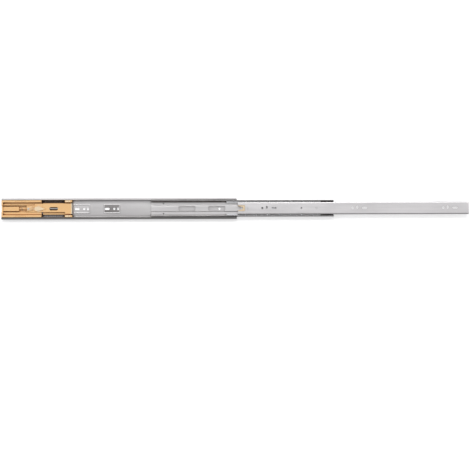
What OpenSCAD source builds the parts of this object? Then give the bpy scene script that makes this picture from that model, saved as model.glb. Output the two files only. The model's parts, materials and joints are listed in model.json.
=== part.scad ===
// Full-extension ball-bearing drawer slide with a soft-close unit.
// Three nested steel channels, two sets of caged balls and a sprung, damped carriage.
//
// X runs along the slide, towards the front of the cabinet.  Z is up.
// Depth is measured from the cabinet wall (Y = 0) towards the drawer (-Y).
// The origin is the front cabinet screw hole.  Lengths along the slide are measured from
// the rear end of the cabinet channel, and moved to the origin by from_rear().
// The slide is drawn pulled fully out.

/* [Overall] */
// Length of the cabinet channel
cab_len = 500; // [460:1:640]
// Height of the cabinet channel
slide_h = 45; // [42:0.5:54]
// Depth of the closed slide, from the cabinet wall to the drawer side
slide_t = 12.7; // [12.3:0.1:15]
// Front edge of the cabinet channel to its front screw hole
front_setback = 37; // [28:1:45]

/* [Channels] */
// Length of the middle channel
mid_len = 388; // [300:1:470]
// Length of the drawer channel
drw_len = 490; // [400:1:600]
// Overlap of the cabinet and middle channels when pulled out
outer_overlap = 182; // [150:1:190]
// Overlap of the middle and drawer channels when pulled out
inner_overlap = 204; // [180:1:245]
// Rear end of the drawer channel when closed
drw_closed = 5; // [4.5:0.5:8]
// Sheet thickness of the cabinet channel
cab_sheet = 1.2; // [0.9:0.1:1.5]
// Sheet thickness of the middle channel
mid_sheet = 1.2; // [0.9:0.1:1.5]
// Sheet thickness of the drawer channel
drw_sheet = 1.0; // [0.8:0.1:1.3]

/* [Balls] */
// Radius of the outer balls
outer_ball_r = 2.0; // [1.6:0.05:2.4]
// Radius of the inner balls
inner_ball_r = 1.75; // [1.4:0.05:2.1]
// Play between a ball and its race
ball_play = 0.05; // [0.03:0.01:0.1]
// Distance from ball to ball
ball_pitch = 24; // [16:1:30]
// Length of each outer ball cage
outer_cage_len = 170; // [120:1:178]
// Length of the inner ball cage
inner_cage_len = 200; // [150:1:210]
// Thickness of the cage strip
cage_sheet = 0.6; // [0.4:0.1:0.8]

/* [Screw holes] */
// Radius of a screw hole
screw_r = 2.3; // [1.8:0.1:2.8]
// Grid of the cabinet's drilled holes
grid = 32; // [25:1:38]
// Length of an oblong hole, end to end
slot_len = 10.5; // [7:0.5:12]
// First drawer screw hole, from the rear end of the drawer channel
drw_first_hole = 52; // [45:1:60]

/* [Soft close] */
// Length of the plastic housing
housing_len = 85; // [70:1:102]
// Travel of the carriage
stroke = 50; // [42:1:50]
// Length of the carriage's head
head_len = 15; // [12:1:18]
// Sliding gap between the carriage and what guides it
slip = 0.2; // [0.15:0.05:0.3]
// Radius of the damper's cylinder
damper_r = 2.8; // [2.4:0.1:2.9]
// Radius of the damper's rod
rod_r = 1; // [0.8:0.1:1.2]
// Radius of a closing spring
spring_r = 1.3; // [1:0.1:1.3]

/* [Release lever] */
// Lever pivot, from the rear end of the drawer channel
lever_pivot = 167; // [150:1:170]
// Pivot to the tip of the lever's hook
lever_reach = 30; // [24:1:34]

/* [Hidden] */

$fn = 48;
arc_step = 9;           // degrees between the points of a rolled bend
eps = 0.01;             // overlap that joins two features of one piece

steel = [0.78, 0.79, 0.80];
dark_steel = [0.45, 0.46, 0.48];
tan_plastic = [0.93, 0.71, 0.45];
cream_plastic = [0.97, 0.88, 0.72];
black_plastic = [0.10, 0.10, 0.11];

// --- Section across the slide: [height, depth] of the ball centres and races -------------
outer_race_r = outer_ball_r + ball_play;
inner_race_r = inner_ball_r + ball_play;
mid_groove_mid = outer_race_r + mid_sheet / 2;
mid_race_mid = inner_race_r + mid_sheet / 2;
outer_ball_t = 6.4;
outer_ball = [slide_h / 2 - cab_sheet - outer_race_r, outer_ball_t];
flange_lean = 14.25;    // lean of the middle channel's flange, degrees
race_turn = 15.5;       // from the flange to the line through the ball centres, degrees
race_gap = (mid_groove_mid + mid_race_mid) / cos(race_turn);
inner_ball = outer_ball
  + race_gap * [-cos(flange_lean + race_turn), sin(flange_lean + race_turn)];

// Cabinet channel: web, sloped corner, outer race and front lip
cab_slope = 40;
cab_corner_r = 2.0;
cab_lip_angle = 55;
cab_lip_len = 2.7;
cab_race_mid = outer_race_r + cab_sheet / 2;

// Middle channel: raised centre, web, bend, outer groove and inner race
rib_half = 5.2;
rib_rise = 1.45;
rib_r = 1.0;
mid_bend_r = 1.2;
mid_wrap = 35;
mid_lip_angle = 64;
mid_bend = outer_ball - (mid_groove_mid + mid_bend_r) * [cos(mid_wrap), sin(mid_wrap)];
mid_web = mid_bend[1] - mid_bend_r;

// Drawer channel: web, bend and inner groove
drw_bend_r = 1.5;
drw_wrap = 45;
drw_groove_mid = inner_race_r + drw_sheet / 2;
drw_flange = inner_ball[0] - drw_groove_mid;
drw_web = slide_t - drw_sheet / 2;
drw_inside = slide_t - drw_sheet;
drw_half = drw_flange - drw_sheet / 2;

// --- Where each channel sits, from the rear end of the cabinet channel --------------------
mid_rest = cab_len - outer_overlap;
drw_rest = mid_rest + mid_len - inner_overlap;
head_rear = housing_len + slip + stroke;
head_front = head_rear + head_len;
bumper_len = 2.6;       // soft bumper at the front of the head
head_end = head_front - bumper_len;
front_hole = cab_len - front_setback;

// A sheet's bend is [centre, radius of its middle line, first angle, last angle, turn].
function bend_points(b, shift) =
  let (steps = max(1, ceil(abs(b[3] - b[2]) / arc_step)))
  [for (i = [0:steps])
    let (a = b[2] + (b[3] - b[2]) * i / steps)
    b[0] + (b[1] - shift * b[4]) * [cos(a), sin(a)]];
function sheet_side(bends, shift) = [for (b = bends) each bend_points(b, shift)];
function backwards(points) = [for (i = [len(points) - 1:-1:0]) points[i]];
function flipped(points) = [for (p = points) [-p[0], p[1]]];
function sheet_outline(bends, sheet) =
  let (left = sheet_side(bends, sheet / 2), right = sheet_side(bends, -sheet / 2))
  concat(flipped(backwards(left)), left, backwards(right), flipped(right));

cab_corner_t = cab_sheet / 2 + cab_corner_r;
cab_rise = outer_ball[1] - cab_corner_t - (cab_race_mid - cab_corner_r) * cos(cab_slope);
cab_corner_z = outer_ball[0] + (cab_race_mid - cab_corner_r) * sin(cab_slope)
  - cab_rise / tan(cab_slope);
cab_lip_shift = cab_lip_len * [-sin(cab_lip_angle), cos(cab_lip_angle)];
cab_bends = [
  [[cab_corner_z, cab_corner_t], cab_corner_r, -90, cab_slope - 90, 1],
  [outer_ball, cab_race_mid, cab_slope - 90, cab_lip_angle, 1],
  [outer_ball + cab_lip_shift, cab_race_mid, cab_lip_angle, cab_lip_angle, 1]
];

rib_slope = 45;
rib_run = 2 * rib_r * sin(rib_slope)
  + (rib_rise - 2 * rib_r * (1 - cos(rib_slope))) / tan(rib_slope);
mid_bends = [
  [[rib_half, mid_web + rib_rise - rib_r], rib_r, 90, 90 - rib_slope, -1],
  [[rib_half + rib_run, mid_web + rib_r], rib_r, -90 - rib_slope, -90, 1],
  [mid_bend, mid_bend_r, -90, mid_wrap, 1],
  [outer_ball, mid_groove_mid, 180 + mid_wrap, 180 - flange_lean, -1],
  [inner_ball, mid_race_mid, -flange_lean, mid_lip_angle, 1]
];
rib_face = mid_web + rib_rise + mid_sheet / 2;

drw_bends = [
  [[drw_flange - drw_bend_r, drw_web - drw_bend_r], drw_bend_r, 90, 0, -1],
  [inner_ball, drw_groove_mid, 180, 180 + drw_wrap, 1]
];
drw_back = inner_ball[1] - (inner_race_r + drw_sheet) * sin(drw_wrap);
drw_rim = inner_ball[0] - inner_race_r * cos(drw_wrap);

// --- Placing ----------------------------------------------------------------------------
module from_rear(x) {
  translate([x - front_hole, 0, 0]) children();
}

// Extrudes a [height, depth] section from x0 to x1.
module rail(x0, x1) {
  translate([x0, 0, 0]) rotate([0, 90, 0]) rotate([0, 0, 180]) linear_extrude(x1 - x0) children();
}

// Extrudes an [x, z] outline from depth t0 to depth t1.
module plate(t0, t1) {
  translate([0, -t0, 0]) rotate([90, 0, 0]) linear_extrude(t1 - t0) children();
}

// A box from x0 to x1, z0 to z1 and depth t0 to t1.
module slab(x0, x1, z0, z1, t0, t1) {
  translate([x0, -t1, z0]) cube([x1 - x0, t1 - t0, z1 - z0]);
}

// A round pin or hole across the slide.
module pin(x, z, r, t0, t1) {
  translate([x, -t0, z]) rotate([90, 0, 0]) cylinder(h = t1 - t0, r = r);
}

// An oblong pin or hole, long along the slide unless upright.
module oblong(x, z, r, length, t0, t1, upright = false) {
  reach = length / 2 - r;
  translate([x, 0, z]) rotate([0, upright ? 90 : 0, 0]) {
    for (s = [-1, 1]) pin(s * reach, 0, r, t0, t1);
    slab(-reach, reach, -r, r, t0, t1);
  }
}

// A rounded rectangle in the [x, z] plane.
module round_rect(x0, x1, z0, z1, r) {
  for (x = [x0 + r, x1 - r], z = [z0 + r, z1 - r]) translate([x, z]) circle(r = r);
  translate([x0 + r, z0]) square([x1 - x0 - 2 * r, z1 - z0]);
  translate([x0, z0 + r]) square([x1 - x0, z1 - z0 - 2 * r]);
}

module both_sides() {
  children();
  mirror([0, 0, 1]) children();
}

// --- Cabinet channel ----------------------------------------------------------------------
pad_len = 36;
pad_half = 10.4;
pad_rise = 0.8;
pad_border = 2.4;
pad_r = 3;
pad_back = 5;           // pad centre behind its screw hole
pad_holes = [front_hole - 9 * grid, front_hole - 7 * grid];
long_hole_back = 15;    // long hole behind the screw hole
upright_ahead = 8;      // upright hole ahead of it
upright_len = 6;
small_r = 1.6;
crimp_r = 1.3;
crimp_inset = 4;

module pad(x) {
  x0 = x - pad_back - pad_len / 2;
  x1 = x0 + pad_len;
  difference() {
    plate(cab_sheet - eps, cab_sheet + pad_rise) round_rect(x0, x1, -pad_half, pad_half, pad_r);
    plate(cab_sheet + pad_rise / 2, cab_sheet + 2 * pad_rise)
      round_rect(x0 + pad_border, x1 - pad_border, pad_border - pad_half, pad_half - pad_border,
        pad_r - pad_border);
  }
}

module pad_hollow(x) {
  x0 = x - pad_back - pad_len / 2 + cab_sheet;
  plate(-1, pad_rise / 2)
    round_rect(x0, x0 + pad_len - 2 * cab_sheet, cab_sheet - pad_half, pad_half - cab_sheet,
      pad_r - cab_sheet);
}

module crimp(x) {
  translate([x, -outer_ball[1], outer_ball[0] + outer_ball_r / 4])
    cylinder(h = outer_race_r + cab_sheet / 2 - outer_ball_r / 4, r = crimp_r);
}

module cabinet_channel() {
  through = cab_sheet + 2 * pad_rise;
  color(steel) from_rear(0) difference() {
    union() {
      rail(0, cab_len) polygon(sheet_outline(cab_bends, cab_sheet));
      for (x = pad_holes) pad(x);
      both_sides() crimp(cab_len - crimp_inset);
    }
    for (x = pad_holes) pad_hollow(x);
    for (x = concat(pad_holes, [front_hole])) pin(x, 0, screw_r, -1, through);
    for (x = pad_holes) {
      oblong(x - long_hole_back, 0, screw_r, slot_len, -1, through);
      oblong(x + upright_ahead, 0, small_r, upright_len, -1, through, upright = true);
    }
    for (x = rivet_x) pin(x, 0, rivet_r, -1, through);
  }
}

// --- Soft-close housing --------------------------------------------------------------------
seat = 0.05;            // gap under a piece that is fastened down
housing_back = cab_sheet + seat;
floor_t = 1.0;
floor_top = housing_back + floor_t;
housing_rear = 0.5;
housing_wall = 3.5;
rail_front = 11.6;
rail_half = inner_ball[0] - 0.95;       // inner face of the side rails
tunnel_half = rail_half - 1.25;
tunnel_top = drw_back - 1.4;
skin_top = drw_back - 0.4;
spine_half = 7;
slot_edge = spine_half + 2 * slip;
cheek_half = drw_half - 0.6;
cheek_top = 7.6;
guide_half = 4.6;
guide_top = 6.8;
rail_tip = outer_ball[0] - 1.35;
groove_x = [30, 52];    // shallow groove along each side rail
rivet_r = 1.5;
rivet_x = [43, housing_len - 7];
rivet_head = 2.6;
rivet_sink = 0.55;
damper_t = 5.35;
spring_z = 9.8;
spring_t = 3.9;

// Section of a side rail, kept gap clear of the cabinet channel all round.
module side_rail_section(gap) {
  inner_r = cab_corner_r - cab_sheet / 2;
  bend_z = cab_corner_z + inner_r * sin(cab_slope) - gap * sin(cab_slope);
  bend_t = cab_corner_t - inner_r * cos(cab_slope) + gap * cos(cab_slope);
  wing_z = outer_ball[0] + outer_ball_r / 2 - gap;
  polygon([
    [rail_half, cab_sheet + gap],
    [cab_corner_z, cab_sheet + gap],
    [bend_z, bend_t],
    [wing_z, bend_t + (wing_z - bend_z) * tan(cab_slope)],
    [wing_z, outer_ball[1] + 1],
    [rail_tip, outer_ball[1] + 2.6],
    [rail_tip, rail_front],
    [rail_half, rail_front]
  ]);
}

module housing_section() {
  side_rail_section(seat);
  difference() {
    translate([0, housing_back]) square([rail_half + eps, skin_top - housing_back]);
    translate([-1, floor_top]) square([tunnel_half + 1, tunnel_top - floor_top]);
    translate([-1, floor_top]) square([slot_edge + 1, slide_t]);
  }
}

// The raised lower cheek and the end wall of the housing.
module housing_walls() {
  slab(housing_rear, housing_len, -cheek_half, -slot_edge, tunnel_top, cheek_top);
  slab(housing_rear, housing_wall, -rail_half - eps, rail_half + eps, housing_back, rail_front);
  slab(housing_wall - eps, guide_end, -guide_half, guide_half, housing_back, guide_top);
  slab(housing_wall - eps, wedge_rear - stroke - 1, slot_edge, cheek_half, skin_top - eps, cheek_top);
}

module soft_close_housing() {
  color(tan_plastic) from_rear(0) difference() {
    union() {
      both_sides() rail(housing_rear, housing_len) housing_section();
      housing_walls();
    }
    rod_seat();
    for (x = rivet_x) {
      pin(x, 0, rivet_r, -1, slide_t);
      pin(x, 0, rivet_head, floor_top - rivet_sink, slide_t);
    }
    both_sides() slab(groove_x[0], groove_x[1], rail_half + 1, rail_tip - 1, rail_front - 0.5, slide_t);
    slab(-1, housing_wall + 1, -spine_half, spine_half, block_top, slide_t);
  }
}

module housing_rivets() {
  color(dark_steel) from_rear(0) for (x = rivet_x) {
    pin(x, 0, rivet_r, seat, floor_top - rivet_sink + eps);
    pin(x, 0, rivet_head, floor_top - rivet_sink, floor_top - seat);
  }
}

buffer_r = 1.2;
buffer_t = 9.6;

module end_buffers() {
  color(black_plastic) from_rear(0) both_sides()
    pin_along(housing_wall, drw_closed - slip, drw_flange, buffer_t, buffer_r);
}

// A round bar along the slide, from x0 to x1, at height z and depth t.
module pin_along(x0, x1, z, t, r) {
  translate([x0, -t, z]) rotate([0, 90, 0]) cylinder(h = x1 - x0, r = r);
}

// --- Damper ---------------------------------------------------------------------------------
cap_len = 4;
piston_len = 3;
piston_gap = 0.5;
damper_wall = 0.4;
damper_end = 1.5;
damper_seat = 0.1;
bore_len = stroke + piston_len + 2 * piston_gap;
damper_front = head_end - damper_seat;
bore_rear = damper_front - damper_end - bore_len;
cap_rear = bore_rear - cap_len;
guide_end = cap_rear - stroke - 1;      // front end of the housing's guide
rod_rear = guide_end - 5;
piston_rear = bore_rear + piston_gap;

module rod_seat() {
  pin_along(rod_rear, guide_end + 1, 0, damper_t, rod_r);
}

module damper_rod() {
  color(tan_plastic) from_rear(0) pin_along(rod_rear, piston_rear, 0, damper_t, rod_r);
}

module damper_piston() {
  color(black_plastic) from_rear(0)
    pin_along(piston_rear, piston_rear + piston_len, 0, damper_t, damper_r - damper_wall - seat);
}

module damper_cylinder() {
  color(dark_steel) from_rear(0) difference() {
    pin_along(bore_rear, damper_front, 0, damper_t, damper_r);
    pin_along(bore_rear - 1, damper_front - damper_end, 0, damper_t, damper_r - damper_wall);
  }
}

module damper_cap() {
  color(black_plastic) from_rear(0) difference() {
    pin_along(cap_rear, bore_rear, 0, damper_t, damper_r);
    pin_along(cap_rear - 1, bore_rear + 1, 0, damper_t, rod_r + seat);
  }
}

// --- Closing springs ------------------------------------------------------------------------
shoulder = cap_rear;

module closing_spring() {
  wire = 0.35;
  difference() {
    pin_along(housing_wall, shoulder, spring_z, spring_t, spring_r);
    pin_along(housing_wall - 1, shoulder + 1, spring_z, spring_t, spring_r - wire);
  }
}

module closing_spring_upper() {
  color(dark_steel) from_rear(0) closing_spring();
}

module closing_spring_lower() {
  color(dark_steel) from_rear(0) mirror([0, 0, 1]) closing_spring();
}

// --- Carriage -------------------------------------------------------------------------------
plate_half = tunnel_half - 0.3;
plate_back = floor_top + slip;
plate_top = tunnel_top - slip;
carriage_rear = housing_wall + 0.5 - 2 * slip + stroke;
block_top = 8.4;
neck_top = 8.8;
neck_half = cheek_half - 2 * slip;      // upper edge of the neck
wedge_rear = carriage_rear + 17;
wedge_front = wedge_rear + 22;
wedge_half = 5.6;
wedge_tip = 1.6;
wedge_top = neck_top + 0.8;
window_len = 18.5;
window_half = 3.6;
window_x = housing_len + 26;
bumper_bar = 1.4;
knob_r = 1.1;
knob_pitch = 2.45;
knob_back = plate_back + 1;
pad_inset = 1.2;
cushion_len = 10;
cushion_z = (rail_half + rail_tip) / 2;
cushion_half = 1.4;
cushion_sink = 0.8;

module head_cushion(grow) {
  slab(head_rear + pad_inset - grow, head_rear + pad_inset + cushion_len + grow,
    cushion_z - cushion_half - grow, cushion_z + cushion_half + grow,
    rail_front - cushion_sink - grow, rail_front + (grow > 0 ? 1 : 0));
}

module carriage_body() {
  arm_z = guide_half + slip;
  both_sides() {
    slab(carriage_rear, shoulder + eps, arm_z, spine_half, plate_back, block_top);
    slab(shoulder, head_rear + eps, 0, plate_half, plate_back, plate_top);
    slab(shoulder, head_end, 0, spine_half, plate_top - eps, neck_top);
    slab(head_rear, head_end, 0, rail_half + eps, plate_back, plate_top);
    rail(head_rear, head_front) side_rail_section(slip);
  }
  slab(carriage_rear, shoulder + eps, -spine_half, spine_half, guide_top + slip, block_top);
  slab(wedge_rear, shoulder + eps, spine_half - eps, neck_half, skin_top + slip, block_top);
  slab(shoulder, head_end, spine_half - eps, neck_half, skin_top + slip, neck_top);
  slab(head_rear, head_end, -neck_half, neck_half, plate_top - eps, neck_top);
  plate(block_top - eps, wedge_top) wedge();
}

// The wedge that leads the drawer's striker onto the catch.
module wedge() {
  polygon([[wedge_rear, -wedge_half], [wedge_front, -wedge_tip], [wedge_front, wedge_tip],
    [wedge_rear, wedge_half]]);
  translate([wedge_front, 0]) circle(r = wedge_tip);
}

module carriage() {
  color(tan_plastic) from_rear(0) difference() {
    carriage_body();
    pin_along(carriage_rear - 1, head_front, 0, damper_t, damper_r + damper_seat);
    slab(shoulder - 1, head_front, -damper_r - damper_seat, damper_r + damper_seat, 0, damper_t);
    oblong(window_x, 0, window_half, window_len, damper_t, slide_t);
    pin(pivot_x, 0, pawl_pin_r, 0, slide_t);
    both_sides() head_cushion(seat);
  }
}

module head_bumper() {
  x0 = head_end + seat;
  color(cream_plastic) from_rear(0) {
    slab(x0, x0 + bumper_bar, -neck_half, neck_half, knob_back, neck_top - seat);
    for (i = [-4:4]) pin(x0 + bumper_bar - 0.2, knob_pitch * i, knob_r, knob_back, neck_top - seat);
  }
}

module head_pads() {
  color(cream_plastic) from_rear(0) both_sides() difference() {
    head_cushion(0);
    pin(head_rear + pad_inset + cushion_len * 0.7, cushion_z, 0.6, rail_front - 0.5, slide_t);
  }
}

// --- Catch ----------------------------------------------------------------------------------
pawl_pin_r = 1.2;
pivot_x = carriage_rear + 4;
post_r = 1.5;
post_reach = 6;
pawl_back = block_top + slip;
pawl_t = 1.2;
pawl_half = 4.4;
armed_tilt = 8;
striker_back = pawl_back + pawl_t + 3 * slip;

module about_pivot(angle) {
  translate([pivot_x, 0, 0]) rotate([0, -angle, 0]) children();
}

module catch_pawl() {
  color(cream_plastic) from_rear(0) about_pivot(armed_tilt) difference() {
    union() {
      plate(pawl_back, pawl_back + pawl_t)
        round_rect(-3.6, post_reach + 3.4, -pawl_half, pawl_half, 1.5);
      pin(post_reach, 0, post_r, pawl_back, drw_inside - slip);
    }
    pin(0, 0, pawl_pin_r + seat, 0, slide_t);
    for (z = [-2.6, 2.6]) pin(post_reach + 2, z, 0.6, 0, slide_t);
  }
}

module catch_pivot_pin() {
  color(steel) from_rear(0) {
    pin(pivot_x, 0, pawl_pin_r, guide_top + slip + 0.1, pawl_back + pawl_t + 0.2);
    pin(pivot_x, 0, pawl_pin_r + 0.7, pawl_back + pawl_t + seat, pawl_back + pawl_t + 0.35);
  }
}

// --- Ball cages -----------------------------------------------------------------------------
outer_cage_rest = mid_rest + (outer_overlap - outer_cage_len) / 2 - 1;
inner_cage_rest = mid_rest + mid_len - inner_cage_len - 28;
cage_margin = 16;
outer_strip_z = outer_ball[0] - 1;
outer_strip = [3.8, 8.9];
inner_strip_top = 11.1;
cage_web_back = rib_face + 0.4;
cage_web = 0.5;
pocket_play = 0.1;
pocket_web = 6;         // strip left on each side of a ball
groove_half = 1;        // half width of the slots between the balls

function ball_count(len) = floor((len - 2 * cage_margin) / ball_pitch);
function ball_places(len) =
  let (n = ball_count(len), first = (len - n * ball_pitch) / 2)
  [for (i = [0:n]) first + i * ball_pitch];

module outer_cage() {
  difference() {
    slab(0, outer_cage_len, outer_strip_z, outer_strip_z + cage_sheet,
      outer_strip[0], outer_strip[1]);
    for (x = ball_places(outer_cage_len))
      translate([x, -outer_ball[1], 0]) cylinder(h = slide_h, r = outer_ball_r);
    for (x = ball_places(outer_cage_len))
      slab(x + pocket_web, x + ball_pitch - pocket_web, 0, slide_h,
        outer_ball[1] - groove_half, outer_ball[1] + groove_half);
  }
}

module balls(len, ball, r) {
  for (x = ball_places(len)) translate([x, -ball[1], ball[0]]) sphere(r = r);
}

module inner_cage_body() {
  both_sides() {
    slab(0, inner_cage_len, inner_ball[0] - cage_sheet / 2, inner_ball[0] + cage_sheet / 2,
      cage_web_back, inner_strip_top);
  }
  slab(0, inner_cage_len, -inner_ball[0], inner_ball[0], cage_web_back, cage_web_back + cage_web);
}

module inner_cage_cuts() {
  mouth = 30;
  mouth_half = drw_half - 1;
  mouth_r = 6;
  scallop = 0.8;
  bridge = 8;
  opening_len = inner_cage_len / 2 - mouth - 1.5 * bridge;
  opening_half = drw_half - 3;
  both_sides() {
    for (x = ball_places(inner_cage_len)) {
      translate([x, -inner_ball[1], 1]) cylinder(h = slide_h, r = inner_ball_r + pocket_play);
      slab(x + pocket_web, x + ball_pitch - pocket_web, inner_ball[0] - groove_half, slide_h,
        inner_strip_top - scallop, slide_t);
    }
  }
  for (x = [-mouth, inner_cage_len - mouth])
    plate(0, inner_strip_top)
      round_rect(x, x + 2 * mouth, -mouth_half, mouth_half, mouth_r);
  for (x = [mouth + bridge, (inner_cage_len + bridge) / 2])
    slab(x, x + opening_len, -opening_half, opening_half, 0, inner_strip_top);
}

module outer_cage_upper() {
  color(dark_steel) from_rear(outer_cage_rest) outer_cage();
}

module outer_cage_lower() {
  color(dark_steel) from_rear(outer_cage_rest) mirror([0, 0, 1]) outer_cage();
}

module outer_balls_upper() {
  color(steel) from_rear(outer_cage_rest) balls(outer_cage_len, outer_ball, outer_ball_r);
}

module outer_balls_lower() {
  color(steel) from_rear(outer_cage_rest) mirror([0, 0, 1])
    balls(outer_cage_len, outer_ball, outer_ball_r);
}

module inner_cage() {
  color(dark_steel) from_rear(inner_cage_rest) difference() {
    inner_cage_body();
    inner_cage_cuts();
  }
}

module inner_balls_upper() {
  color(steel) from_rear(inner_cage_rest) balls(inner_cage_len, inner_ball, inner_ball_r);
}

module inner_balls_lower() {
  color(steel) from_rear(inner_cage_rest) mirror([0, 0, 1])
    balls(inner_cage_len, inner_ball, inner_ball_r);
}

// --- Middle channel -------------------------------------------------------------------------
window_half_h = 5;
mid_windows = [58, 121.5, 274, 330];
mid_window_len = 36;
dimple_x = 26;
dimple_z = 10.5;
buffer_len = 14;
lever_tab = 2;
tab_low = -7;
tab_high = -2;
lever_tab_x = drw_rest + lever_pivot + lever_reach + 1 - mid_rest;

module middle_channel() {
  color(steel) from_rear(mid_rest) {
    difference() {
      rail(0, mid_len) polygon(sheet_outline(mid_bends, mid_sheet));
      for (x = mid_windows)
        plate(-1, rib_face + 1)
          round_rect(x, x + mid_window_len, -window_half_h, window_half_h, 2);
      for (z = [-dimple_z, dimple_z]) pin(dimple_x, z, small_r, -1, slide_t);
    }
    slab(lever_tab_x, lever_tab_x + lever_tab, tab_low, tab_high, rib_face - eps, hook_top);
  }
}

module cage_buffer() {
  intersection() {
    pin_along(mid_len - buffer_len - 1, mid_len - 1, inner_ball[0], inner_ball[1],
      inner_race_r - seat);
    slab(0, mid_len, drw_rim + 0.4, slide_h, 0, slide_t);
  }
}

module cage_buffer_upper() {
  color(black_plastic) from_rear(mid_rest) cage_buffer();
}

module cage_buffer_lower() {
  color(black_plastic) from_rear(mid_rest) mirror([0, 0, 1]) cage_buffer();
}

// --- Drawer channel -------------------------------------------------------------------------
group_pitch = 6 * grid;
drw_groups = [0, 1, 2];
single_hole = 135;
upright_step = 9.5;     // from a round hole to the upright one
upright_rise = 1.4;
long_step = 25;         // from a round hole to the long one
narrow_r = 1.8;         // half width of the oblong holes
striker_len = 27;
striker_half = 9.4;
striker_rivet_x = 20.5;
mouth_half = 5.5;
throat_half = 2.8;
throat_x = pivot_x + post_reach - stroke - drw_closed - 0.5;
notch_len = throat_x + throat_half + 4.6;
notch_half = 6.5;
rivet_flush = slide_t - 0.1;

module drawer_channel() {
  color(steel) from_rear(drw_rest) difference() {
    rail(0, drw_len) polygon(sheet_outline(drw_bends, drw_sheet));
    for (i = drw_groups) {
      x = drw_first_hole + i * group_pitch;
      pin(x, 0, screw_r, drw_inside - 1, slide_t + 1);
      oblong(x + upright_step, upright_rise, narrow_r, upright_len, drw_inside - 1, slide_t + 1,
        upright = true);
      oblong(x + long_step, 0, narrow_r, slot_len, drw_inside - 1, slide_t + 1);
    }
    pin(single_hole, 0, narrow_r, drw_inside - 1, slide_t + 1);
    pin(striker_rivet_x, 0, rivet_head, drw_inside - 1, slide_t + 1);
    pin(lever_pivot, 0, lever_rivet_r, drw_inside - 1, slide_t + 1);
    plate(drw_inside - 1, slide_t + 1) {
      translate([-1, -notch_half]) square([notch_len - 1, 2 * notch_half]);
      round_rect(notch_len - 5, notch_len, -notch_half, notch_half, 2);
    }
  }
}

// --- Drawer striker -------------------------------------------------------------------------
module striker_mouth() {
  polygon([[-1, -mouth_half], [throat_x, -throat_half], [throat_x, throat_half], [-1, mouth_half]]);
  translate([throat_x, 0]) circle(r = throat_half);
}

module drawer_striker() {
  lip = 0.3;
  color(tan_plastic) from_rear(drw_rest) difference() {
    union() {
      plate(striker_back, drw_inside - seat)
        round_rect(lip, striker_len, -striker_half, striker_half, 1.5);
      plate(drw_inside - 0.2, slide_t - lip)
        round_rect(lip, notch_len - lip, lip - notch_half, notch_half - lip, 1.5);
    }
    plate(0, slide_t + 1) striker_mouth();
    pin(striker_rivet_x, 0, rivet_r, 0, slide_t + 1);
  }
}

module striker_rivet() {
  color(dark_steel) from_rear(drw_rest) {
    pin(striker_rivet_x, 0, rivet_r, striker_back - 0.4, rivet_flush - 0.5);
    pin(striker_rivet_x, 0, rivet_head - seat, drw_inside + seat, rivet_flush);
    pin(striker_rivet_x, 0, rivet_head, striker_back - 0.5, striker_back - seat);
  }
}

// --- Release lever --------------------------------------------------------------------------
lever_rivet_r = 2.6;
lever_bore = 1.8;
lever_t = 1.2;
lever_top = drw_inside - slip;
lever_back = lever_top - lever_t;
hook_top = lever_back - slip;
hook_t = 2;
hook_back = cage_web_back + cage_web + 0.4;
lever_tail = 14;

module release_lever() {
  color(black_plastic) from_rear(drw_rest + lever_pivot) difference() {
    union() {
      plate(lever_back, lever_top) {
        translate([-lever_tail, tab_low + 2]) square([lever_reach + lever_tail - 1, 4.4]);
        circle(r = 6);
        round_rect(lever_reach - 8, lever_reach, tab_low, tab_high + 1, 1);
        round_rect(-lever_tail, 2 - lever_tail / 2, tab_low, 4, 1.5);
      }
      slab(lever_reach - hook_t, lever_reach, tab_low, tab_high, hook_back, lever_back + eps);
    }
    pin(0, 0, lever_bore + seat, 0, slide_t);
  }
}

module lever_rivet() {
  color(dark_steel) from_rear(drw_rest + lever_pivot) {
    pin(0, 0, lever_bore, lever_back - 0.4, rivet_flush - 0.2);
    pin(0, 0, lever_rivet_r - seat, drw_inside + seat, rivet_flush);
    pin(0, 0, lever_rivet_r, lever_back - 0.5, lever_back - seat);
  }
}

cabinet_channel();
soft_close_housing();
housing_rivets();
end_buffers();
damper_rod();
damper_piston();
carriage();
head_pads();
head_bumper();
damper_cylinder();
damper_cap();
closing_spring_upper();
closing_spring_lower();
catch_pawl();
catch_pivot_pin();
outer_cage_upper();
outer_cage_lower();
outer_balls_upper();
outer_balls_lower();
middle_channel();
cage_buffer_upper();
cage_buffer_lower();
inner_cage();
inner_balls_upper();
inner_balls_lower();
drawer_channel();
drawer_striker();
striker_rivet();
release_lever();
lever_rivet();
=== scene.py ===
import json
import math

import bpy
from mathutils import Matrix, Vector

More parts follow.
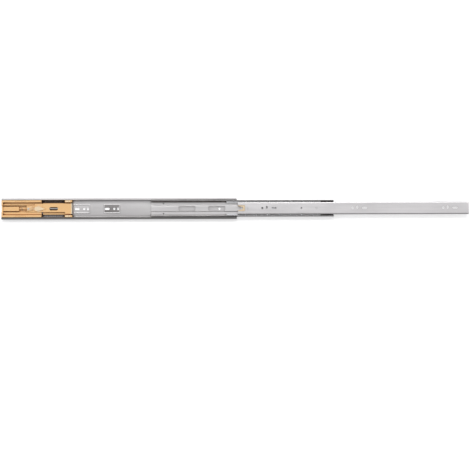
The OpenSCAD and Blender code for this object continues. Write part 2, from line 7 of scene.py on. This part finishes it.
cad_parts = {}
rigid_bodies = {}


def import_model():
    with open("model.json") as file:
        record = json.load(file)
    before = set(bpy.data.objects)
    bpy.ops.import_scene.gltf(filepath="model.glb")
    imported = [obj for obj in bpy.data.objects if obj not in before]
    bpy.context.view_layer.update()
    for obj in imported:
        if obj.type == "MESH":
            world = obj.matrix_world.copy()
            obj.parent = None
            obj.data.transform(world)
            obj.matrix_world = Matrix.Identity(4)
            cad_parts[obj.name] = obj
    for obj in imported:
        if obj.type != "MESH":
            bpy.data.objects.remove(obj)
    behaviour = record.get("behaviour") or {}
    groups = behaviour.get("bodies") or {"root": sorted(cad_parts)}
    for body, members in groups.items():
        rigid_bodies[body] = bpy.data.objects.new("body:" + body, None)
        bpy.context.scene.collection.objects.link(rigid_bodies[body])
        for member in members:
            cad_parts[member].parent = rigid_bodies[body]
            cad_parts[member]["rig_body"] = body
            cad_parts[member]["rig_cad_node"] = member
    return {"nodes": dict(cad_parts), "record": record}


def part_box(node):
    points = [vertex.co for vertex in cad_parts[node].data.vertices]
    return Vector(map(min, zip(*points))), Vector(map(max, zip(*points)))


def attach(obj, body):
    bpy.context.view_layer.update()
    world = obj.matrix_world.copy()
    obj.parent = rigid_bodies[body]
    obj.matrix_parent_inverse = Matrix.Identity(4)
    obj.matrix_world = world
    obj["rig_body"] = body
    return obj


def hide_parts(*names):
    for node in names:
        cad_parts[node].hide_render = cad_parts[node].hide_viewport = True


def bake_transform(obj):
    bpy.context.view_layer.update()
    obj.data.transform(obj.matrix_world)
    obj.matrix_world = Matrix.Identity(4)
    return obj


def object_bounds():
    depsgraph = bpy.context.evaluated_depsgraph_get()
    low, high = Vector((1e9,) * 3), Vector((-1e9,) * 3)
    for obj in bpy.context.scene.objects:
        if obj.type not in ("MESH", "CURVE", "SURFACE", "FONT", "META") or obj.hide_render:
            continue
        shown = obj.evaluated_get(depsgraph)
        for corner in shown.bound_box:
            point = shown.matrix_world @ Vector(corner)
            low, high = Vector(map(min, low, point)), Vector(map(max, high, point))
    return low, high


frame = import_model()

MM = 0.001
cad_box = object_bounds()


# --- Places, all from the frame ---------------------------------------------------------------

def body_of(node):
    for body, members in frame["record"]["behaviour"]["bodies"].items():
        if node in members:
            return body
    raise KeyError(node)


def slot_of(node):
    for part in frame["record"]["subparts"]:
        if part["node"] == node:
            return part["material_slot"]
    raise KeyError(node)


# --- Shader building --------------------------------------------------------------------------

class Number:
    """A node socket that can be used in arithmetic; each operator adds one Math node."""

    def __init__(self, finish, socket):
        self.finish = finish
        self.socket = socket

    def _math(self, operation, first, second):
        node = self.finish.node("ShaderNodeMath", {"operation": operation}, {0: first, 1: second})
        return Number(self.finish, node.outputs[0])

    def __add__(self, other):
        return self._math("ADD", self, other)

    def __radd__(self, other):
        return self._math("ADD", other, self)

    def __sub__(self, other):
        return self._math("SUBTRACT", self, other)

    def __rsub__(self, other):
        return self._math("SUBTRACT", other, self)

    def __mul__(self, other):
        return self._math("MULTIPLY", self, other)

    def __rmul__(self, other):
        return self._math("MULTIPLY", other, self)

    def __abs__(self):
        return self._math("ABSOLUTE", self, 0.0)

    def larger(self, other):
        return self._math("MAXIMUM", self, other)

    def clipped(self):
        return self._math("MINIMUM", self, 1.0).larger(0.0)


class Shading:
    """A shader tree whose nodes all come from one method."""

    def __init__(self, tree):
        self.tree = tree

    def node(self, kind, settings, inputs):
        made = self.tree.nodes.new(kind)
        for name, setting in settings.items():
            if name == "stops":
                self.set_stops(made.color_ramp, setting)
            else:
                setattr(made, name, setting)
        for key, given in inputs.items():
            self.feed(made.inputs[key], given)
        return made

    def set_stops(self, ramp, stops):
        while len(ramp.elements) < len(stops):
            ramp.elements.new(1.0)
        for element, (position, colour) in zip(ramp.elements, stops):
            element.position = position
            element.color = (*colour, 1.0)

    def feed(self, socket, given):
        if isinstance(given, Number):
            given = given.socket
        if isinstance(given, bpy.types.NodeSocket):
            self.tree.links.new(given, socket)
        elif socket.type == "RGBA":
            socket.default_value = (*given, 1.0)
        else:
            socket.default_value = given


class Finish(Shading):
    """A material with one Principled shader and helpers for the nodes that feed it."""

    def __init__(self, name):
        self.material = bpy.data.materials.new(name)
        self.material.use_nodes = True
        super().__init__(self.material.node_tree)
        self.shader = self.tree.nodes["Principled BSDF"]
        self.place = self.node("ShaderNodeTexCoord", {}, {}).outputs["Object"]

    def number(self, socket):
        return Number(self, socket)

    def axes(self):
        """Distances along, into and up the object, in millimetres."""
        split = self.node("ShaderNodeSeparateXYZ", {}, {"Vector": self.place})
        return [self.number(socket) * (1 / MM) for socket in split.outputs]

    def facing_front(self):
        """1 on faces turned to the drawer's side, 0 on backs and edges."""
        turned = self.node("ShaderNodeTexCoord", {}, {}).outputs["Normal"]
        split = self.node("ShaderNodeSeparateXYZ", {}, {"Vector": turned})
        return (self.number(split.outputs["Y"]) * -3.0).clipped()

    def stretched(self, scale):
        return self.node("ShaderNodeMapping", {}, {"Vector": self.place, "Scale": scale}).outputs[0]

    def noise(self, scale, detail=2.0, stretch=(1, 1, 1)):
        made = self.node(
            "ShaderNodeTexNoise", {},
            {"Vector": self.stretched(stretch), "Scale": scale, "Detail": detail},
        )
        return self.number(made.outputs["Fac"])

    def colour_mix(self, factor, first, second):
        made = self.node(
            "ShaderNodeMix", {"data_type": "RGBA"}, {0: factor, 6: first, 7: second}
        )
        return made.outputs[2]

    def bump(self, height, distance, strength=1.0):
        made = self.node(
            "ShaderNodeBump", {}, {"Height": height, "Distance": distance, "Strength": strength}
        )
        self.feed(self.shader.inputs["Normal"], made.outputs["Normal"])

    def openness(self, reach):
        """1 on open faces, towards 0 down in grooves and between pieces."""
        made = self.node("ShaderNodeAmbientOcclusion", {"samples": 12}, {"Distance": reach})
        return self.number(made.outputs["AO"])

    def surface(self, **values):
        for name, given in values.items():
            self.feed(self.shader.inputs[name.replace("_", " ").title()], given)


# The first constant below is the colour of painted shade, partly lubricant, mixed into the steel.
# Sizes in millimetres; heights are measured from the slide's middle line.
SHADE_AND_LUBRICANT = (0.045, 0.030, 0.022)
RACE_EDGE = 9.8
LIP_EDGE = 18.2
GROOVE_REACH = 8.0
MOULDING_REACH = 6.0
PAD_LEN, PAD_HEIGHT, PAD_BORDER, PAD_BACK = 36.0, 20.8, 2.4, 5.0


def pad_frame(along, height, centre):
    """How far a place lies from the middle line of a pad's raised border."""
    return (abs(along - centre) - (PAD_LEN - PAD_BORDER) / 2).larger(
        abs(height) - (PAD_HEIGHT - PAD_BORDER) / 2
    )


def zinc_steel(name, dark, bright, roughness, shade_bands=(), neck_shade_and_lubricant=None, pads=(), groove_shade_and_lubricant=1.0):
    """Rolled, zinc-plated sheet: grain along the slide, soft clouds, fine pits and painted shade.

    Painted shade, partly lubricant, darkens the races, grooves and gaps but not the lips.  Each
    shade band, as (edge, slope, amount), paints shade above its edge for a positive slope and
    below it for a negative one.  The neck band, as (edge, front), paints shade, partly lubricant,
    above its edge and behind its front.  Each pad, as (centre, shade), has a rounded border, as
    a bump only, and a middle darkened by painted shade.
    """
    finish = Finish(name)
    along, _, height = finish.axes()
    grain = finish.noise(900.0, 3.0, (0.012, 1.0, 1.0))
    clouds = finish.noise(45.0, 3.0, (0.35, 1.0, 1.0))
    speckle = finish.noise(2600.0, 2.0)
    lip = ((abs(height) - LIP_EDGE) * 0.8).clipped()
    race = ((abs(height) - RACE_EDGE) * 0.5).clipped() * (1.0 - lip * 0.7)
    # Painted shade from ambient occlusion, strongest in the races, partly lubricant.
    open_face = ((finish.openness(GROOVE_REACH * MM) - 0.36) * 2.0).clipped()
    shade = (1.0 - open_face) * (0.22 + race * 0.78) * groove_shade_and_lubricant
    front_face = finish.facing_front() if pads or neck_shade_and_lubricant else 0.0
    # Painted shade bands by height.
    for edge, slope, amount in shade_bands:
        shade = shade + ((height - edge) * slope).clipped() * amount
    # Painted shade, partly lubricant, above the carriage's neck on front faces.
    if neck_shade_and_lubricant:
        edge, front = neck_shade_and_lubricant
        neck_shade = ((height - edge) * 0.6).clipped() * ((front - along) * 0.3).clipped()
        shade = shade + neck_shade * (1.0 - lip) * front_face * 0.65
    relief = grain * 0.018 + speckle * 0.012
    for centre, recess_shade in pads:
        frame_line = pad_frame(along, height, centre)
        bead = (1.0 - abs(frame_line) * (2 / PAD_BORDER)).clipped()
        relief = relief + bead * (2.0 - bead) * 0.45
        # Painted shade in the pad's middle.
        inside = ((-PAD_BORDER / 2 - frame_line) * 1.5).clipped()
        shade = shade + inside * recess_shade * front_face * (0.6 + clouds * 0.8)
    plated = finish.colour_mix((clouds * 0.55 + grain * 0.3 + speckle * 0.15).clipped(), dark, bright)
    finish.surface(
        metallic=1.0,
        base_color=finish.colour_mix(shade.clipped(), plated, SHADE_AND_LUBRICANT),
        roughness=(roughness + (clouds - 0.5) * 0.12 + (grain - 0.5) * 0.16).clipped(),
    )
    finish.bump(relief, 1.0 * MM, 1.0)
    return finish.material


def moulded_plastic(name, shade, light, roughness, groove_shade_colour, lit_patch=None):
    """Satin injection moulding: flow marks, faint mottling, fine orange peel, painted shade in its
    grooves.

    The lit patch, as (centre, half length, half height, colour), is a painted highlight with pointed
    ends.
    """
    finish = Finish(name)
    flow = finish.noise(60.0, 3.0, (0.4, 1.0, 1.0))
    mottle = finish.noise(420.0, 2.0)
    peel = finish.noise(1800.0, 2.0)
    # Painted shade from ambient occlusion in grooves and gaps.
    open_face = ((finish.openness(MOULDING_REACH * MM) - 0.34) * 1.9).clipped()
    skin = finish.colour_mix((flow * 0.7 + mottle * 0.3).clipped(), shade, light)
    # Painted highlight: a paler patch with pointed ends.
    if lit_patch:
        centre, half_length, half_height, pale = lit_patch
        along, _, height = finish.axes()
        spread = (half_length - abs(along - centre)) * (half_height / half_length)
        patch = ((spread - abs(height)) * 0.8).clipped()
        skin = finish.colour_mix(patch * (0.6 + mottle * 0.4), skin, pale)
    finish.surface(
        base_color=finish.colour_mix(open_face, groove_shade_colour, skin),
        roughness=(roughness + (mottle - 0.5) * 0.12).clipped(),
    )
    finish.shader.inputs["Specular IOR Level"].default_value = 0.45
    finish.bump(peel * 0.5 + flow * 0.5, 0.05 * MM, 0.5)
    return finish.material


def polished_ball(name):
    """Hardened chrome-steel ball with a trace of grease."""
    finish = Finish(name)
    film = finish.noise(700.0, 2.0)
    finish.surface(
        metallic=1.0,
        base_color=finish.colour_mix(film, (0.62, 0.63, 0.66), (0.80, 0.81, 0.83)),
        roughness=(0.08 + film * 0.14).clipped(),
    )
    finish.bump(film, 0.01 * MM, 0.3)
    return finish.material


def mount_place(name):
    """A mount's distance along the slide, in millimetres."""
    for mount in frame["record"]["mounts"]:
        if mount["name"] == name:
            return mount["pos_m"][0] / MM
    raise KeyError(name)


REAR_PAD = mount_place("cabinet_rear_screw") - PAD_BACK
NEXT_PAD = 2 * mount_place("cabinet_screws") - PAD_BACK
ZINC_DARK, ZINC_BRIGHT, ROLLED = (0.63, 0.615, 0.615), (0.87, 0.855, 0.855), 0.38
# The third tan colour is painted shade for the plastic's grooves and gaps.
TAN_DARK, TAN_LIGHT, TAN_GROOVE_SHADE = (0.86, 0.49, 0.20), (0.95, 0.64, 0.32), (0.40, 0.13, 0.02)
SATIN = 0.42
FINISHES = {
    "zinc_steel": zinc_steel("zinc_steel", ZINC_DARK, ZINC_BRIGHT, ROLLED),
    "dark_steel": zinc_steel("cage_steel", (0.20, 0.19, 0.18), (0.34, 0.33, 0.31), 0.42),
    "ball_steel": polished_ball("ball_steel"),
    "tan_plastic": moulded_plastic("tan_acetal", TAN_DARK, TAN_LIGHT, SATIN, TAN_GROOVE_SHADE),
    "cream_plastic": moulded_plastic(
        "cream_acetal", (0.95, 0.72, 0.45), (0.98, 0.84, 0.62), SATIN, (0.34, 0.16, 0.07)
    ),
    "black_plastic": moulded_plastic(
        "black_acetal", (0.012, 0.012, 0.013), (0.03, 0.03, 0.032), 0.5, (0.008, 0.008, 0.008)
    ),
}
CARRIAGE_REAR, CARRIAGE_FRONT = (corner.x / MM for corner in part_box("carriage"))
# A paler patch on the carriage's wedge, a painted highlight.
WEDGE_HIGHLIGHT = (CARRIAGE_REAR + 25.0, 14.0, 7.5, (0.90, 0.76, 0.54))
# Painted shade bands, as (edge, slope, amount): the cabinet web darker towards the bottom, the
# cabinet's lower lip darker, the middle's upper groove darker.
WEB_SHADE_BAND, LOWER_SHADE_BAND, UPPER_GROOVE_SHADE = (9.0, -0.009, 1.0), (-12.2, -0.6, 0.15), (12.2, 0.8, 0.45)
# Height above which the neck band paints shade, partly lubricant, on the cabinet.
RACE_CEILING = 10.5
# How much painted shade lies in each pad's middle.
UNSHADED_PAD, SHADED_PAD = 0.0, 0.5
RIVET_STEEL = zinc_steel("rivet_steel", (0.66, 0.65, 0.65), (0.85, 0.84, 0.84), 0.3, groove_shade_and_lubricant=0.2)
OWN_FINISH = {
    "carriage": moulded_plastic(
        "carriage_acetal", TAN_DARK, TAN_LIGHT, SATIN, TAN_GROOVE_SHADE, lit_patch=WEDGE_HIGHLIGHT
    ),
    "drawer_striker": moulded_plastic(
        "striker_acetal", (0.70, 0.52, 0.31), (0.84, 0.69, 0.49), 0.4, (0.14, 0.08, 0.03)
    ),
    "catch_pawl": moulded_plastic(
        "pawl_acetal", (0.86, 0.56, 0.28), (0.94, 0.68, 0.40), SATIN, (0.30, 0.11, 0.03)
    ),
    "inner_cage": zinc_steel("bright_cage", (0.80, 0.80, 0.82), (0.95, 0.95, 0.96), 0.3, groove_shade_and_lubricant=0.25),
    "striker_rivet": RIVET_STEEL,
    "lever_rivet": RIVET_STEEL,
    "catch_pivot_pin": RIVET_STEEL,
    "cabinet_channel": zinc_steel(
        "cabinet_steel", ZINC_DARK, ZINC_BRIGHT, ROLLED,
        shade_bands=(WEB_SHADE_BAND, LOWER_SHADE_BAND), neck_shade_and_lubricant=(RACE_CEILING, CARRIAGE_FRONT),
        pads=((REAR_PAD, UNSHADED_PAD), (NEXT_PAD, SHADED_PAD)),
    ),
    "middle_channel": zinc_steel(
        "middle_steel", ZINC_DARK, ZINC_BRIGHT, ROLLED, shade_bands=(UPPER_GROOVE_SHADE,)
    ),
    "drawer_channel": zinc_steel("drawer_steel", (0.67, 0.655, 0.66), (0.92, 0.90, 0.905), ROLLED),
}


def finish_of(node):
    return OWN_FINISH.get(node) or FINISHES[slot_of(node)]


# --- Pieces -----------------------------------------------------------------------------------

MERGE = 0.001 * MM


def only(piece):
    bpy.ops.object.select_all(action="DESELECT")
    piece.select_set(True)
    bpy.context.view_layer.objects.active = piece


def finish_piece(piece, node, smooth_angle=35):
    """Smooths a piece, gives it its node's finish and lets it stand for the node."""
    only(piece)
    bpy.ops.object.shade_smooth_by_angle(angle=math.radians(smooth_angle))
    even = piece.modifiers.new("flat_faces", "WEIGHTED_NORMAL")
    even.keep_sharp = True
    even.weight = 100
    bpy.ops.object.modifier_apply(modifier=even.name)
    piece.data.materials.clear()
    piece.data.materials.append(finish_of(node))
    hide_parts(node)


def softened(node, radius):
    """A copy of a node as one clean shell with its sharp edges rounded."""
    piece = frame["nodes"][node].copy()
    piece.data = piece.data.copy()
    piece.name = node + "_formed"
    piece.parent = None
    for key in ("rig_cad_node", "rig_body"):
        if key in piece:
            del piece[key]
    bpy.context.scene.collection.objects.link(piece)
    only(piece)
    bpy.ops.object.mode_set(mode="EDIT")
    bpy.ops.mesh.select_all(action="SELECT")
    bpy.ops.mesh.remove_doubles(threshold=MERGE)
    bpy.ops.mesh.dissolve_limited(angle_limit=math.radians(1.0))
    bpy.ops.object.mode_set(mode="OBJECT")
    rounding = piece.modifiers.new("edges", "BEVEL")
    rounding.width = radius
    rounding.segments = 2
    rounding.limit_method = "ANGLE"
    rounding.angle_limit = math.radians(40)
    rounding.use_clamp_overlap = True
    bpy.ops.object.modifier_apply(modifier=rounding.name)
    return piece


# Edge radius of each formed piece, in millimetres.
SOFTENED = {
    "cabinet_channel": 0.25, "middle_channel": 0.25, "drawer_channel": 0.2,
    "soft_close_housing": 0.2, "carriage": 0.2, "drawer_striker": 0.2, "catch_pawl": 0.25,
    "head_pads": 0.2, "head_bumper": 0.2, "release_lever": 0.2,
    "inner_cage": 0.12, "outer_cage_upper": 0.12, "outer_cage_lower": 0.12,
}
for node, radius in SOFTENED.items():
    piece = softened(node, radius * MM)
    finish_piece(piece, node)
    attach(piece, body_of(node))

SPRINGS = ("closing_spring_upper", "closing_spring_lower")
WIRE_R = 0.22
SPRING_TURNS = 24


def closing_spring(node):
    """A stretched coil from the housing to the carriage."""
    lo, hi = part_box(node)
    wire = WIRE_R * MM
    rear = Vector((lo.x + wire, (lo.y + hi.y) / 2, (lo.z + hi.z) / 2))
    bpy.ops.object.select_all(action="DESELECT")
    bpy.ops.mesh.primitive_circle_add(
        vertices=8, radius=wire, location=rear, rotation=(math.radians(90), 0, 0)
    )
    piece = bpy.context.object
    piece.name = node + "_coil"
    bpy.ops.object.transform_apply(location=False, rotation=True, scale=False)
    bpy.ops.object.mode_set(mode="EDIT")
    bpy.ops.mesh.select_all(action="SELECT")
    bpy.ops.transform.translate(value=(0, 0, (hi.z - lo.z) / 2 - wire))
    bpy.ops.object.mode_set(mode="OBJECT")
    winding = piece.modifiers.new("winding", "SCREW")
    winding.axis = "X"
    winding.angle = math.tau
    winding.steps = winding.render_steps = 14
    winding.iterations = SPRING_TURNS
    winding.screw_offset = (hi.x - lo.x - 2 * wire) / SPRING_TURNS
    bpy.ops.object.modifier_apply(modifier=winding.name)
    bpy.ops.object.transform_apply(location=True, rotation=False, scale=False)
    bpy.ops.object.mode_set(mode="EDIT")
    bpy.ops.mesh.select_all(action="SELECT")
    bpy.ops.mesh.remove_doubles(threshold=MERGE)
    bpy.ops.mesh.select_mode(type="EDGE")
    bpy.ops.mesh.select_all(action="DESELECT")
    bpy.ops.mesh.select_non_manifold()
    bpy.ops.mesh.fill_holes(sides=0)
    bpy.ops.mesh.select_all(action="SELECT")
    bpy.ops.mesh.normals_make_consistent(inside=False)
    bpy.ops.object.mode_set(mode="OBJECT")
    finish_piece(piece, node, smooth_angle=60)
    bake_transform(piece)


for node in SPRINGS:
    closing_spring(node)

PLAIN = [n for n in frame["nodes"] if n not in SOFTENED and n not in SPRINGS]
for node in PLAIN:
    shape = frame["nodes"][node]
    shape.data.materials.clear()
    shape.data.materials.append(finish_of(node))


# --- Studio -----------------------------------------------------------------------------------

def backdrop():
    """A pale sheet just behind the slide; it shows to the camera and takes the soft shadow."""
    bpy.ops.object.select_all(action="DESELECT")
    lo, hi = cad_box
    bpy.ops.mesh.primitive_plane_add(
        size=6.0, location=((lo.x + hi.x) / 2, hi.y + 0.5 * MM, 0.0), rotation=(math.radians(90), 0, 0)
    )
    sheet = bpy.context.object
    sheet.name = "backdrop"
    paper = Finish("backdrop_paper")
    fibre = paper.noise(30.0, 2.0)
    paper.surface(
        base_color=paper.colour_mix(fibre, (0.93, 0.93, 0.93), (0.95, 0.95, 0.95)), roughness=0.9
    )
    paper.shader.inputs["Specular IOR Level"].default_value = 0.0
    paper.shader.inputs["Emission Color"].default_value = (1, 1, 1, 1)
    paper.shader.inputs["Emission Strength"].default_value = 0.42
    see_through = paper.node("ShaderNodeBsdfTransparent", {}, {})
    side = paper.node("ShaderNodeNewGeometry", {}, {})
    chosen = paper.node(
        "ShaderNodeMixShader", {},
        {0: side.outputs["Backfacing"], 1: paper.shader.outputs[0], 2: see_through.outputs[0]},
    )
    paper.feed(paper.tree.nodes["Material Output"].inputs["Surface"], chosen.outputs[0])
    sheet.data.materials.append(paper.material)
    sheet.visible_diffuse = False
    sheet.visible_glossy = False
    sheet.visible_shadow = False
    return sheet


def soft_light(name, place, target, size, power):
    bpy.ops.object.light_add(type="AREA", location=place)
    lamp = bpy.context.object
    lamp.name = name
    lamp.data.shape = "RECTANGLE"
    lamp.data.size, lamp.data.size_y = size
    lamp.data.energy = power
    lamp.rotation_euler = (Vector(target) - Vector(place)).to_track_quat("-Z", "Y").to_euler()
    return lamp


# Grey of the room from straight down (0) through level (0.5) to straight up (1).
ROOM_GREYS = (
    (0.0, 0.06), (0.015, 0.30), (0.06, 0.30), (0.15, 0.20), (0.35, 0.28), (0.48, 0.45),
    (0.56, 0.52), (0.66, 0.92), (0.80, 0.88), (0.88, 0.45), (0.972, 0.30), (0.99, 0.9), (1.0, 1.0),
)


def pale_room():
    """Light from all round, bright above, mid grey ahead and dark below; white to the camera."""
    world = bpy.data.worlds.new("pale_room")
    bpy.context.scene.world = world
    world.use_nodes = True
    room = Shading(world.node_tree)
    place = room.node("ShaderNodeTexCoord", {}, {})
    split = room.node("ShaderNodeSeparateXYZ", {}, {"Vector": place.outputs["Generated"]})
    height = room.node("ShaderNodeMapRange", {}, {"Value": split.outputs["Z"], "From Min": -1.0})
    stops = [(position, (grey, grey, grey * 1.01)) for position, grey in ROOM_GREYS]
    walls = room.node("ShaderNodeValToRGB", {"stops": stops}, {"Fac": height.outputs["Result"]})
    lit = room.node("ShaderNodeBackground", {}, {"Color": walls.outputs["Color"], "Strength": 1.25})
    white = room.node("ShaderNodeBackground", {}, {"Color": (1, 1, 1)})
    path = room.node("ShaderNodeLightPath", {}, {})
    mixed = room.node(
        "ShaderNodeMixShader", {},
        {0: path.outputs["Is Camera Ray"], 1: lit.outputs[0], 2: white.outputs[0]},
    )
    room.feed(room.tree.nodes["World Output"].inputs["Surface"], mixed.outputs[0])


LENS, SENSOR = 100.0, 36.0


def camera():
    """A long lens nearly square to the slide, a little below it."""
    lo, hi = cad_box
    centre = (lo + hi) / 2
    below = math.radians(2.0)
    view_width = (hi.x - lo.x) * 1.0065
    distance = view_width * LENS / SENSOR
    aim = Vector((centre.x, centre.y, centre.z - 0.0567))
    back = Vector((0, -math.cos(below), -math.sin(below)))
    bpy.ops.object.camera_add(location=aim + back * distance)
    eye = bpy.context.object
    eye.data.lens = LENS
    eye.data.sensor_width = SENSOR
    turn = (-back).to_track_quat("-Z", "Y").to_matrix().to_4x4()
    roll = Matrix.Rotation(math.radians(-0.15), 4, "Z")
    eye.rotation_euler = (turn @ roll).to_euler()
    bpy.context.scene.camera = eye


backdrop()
pale_room()
middle = (cad_box[0] + cad_box[1]) / 2
soft_light("front_panel", middle + Vector((-0.2, -2.2, 1.9)), middle, (3.0, 0.8), 40)
camera()
bpy.context.scene.view_settings.view_transform = "Standard"
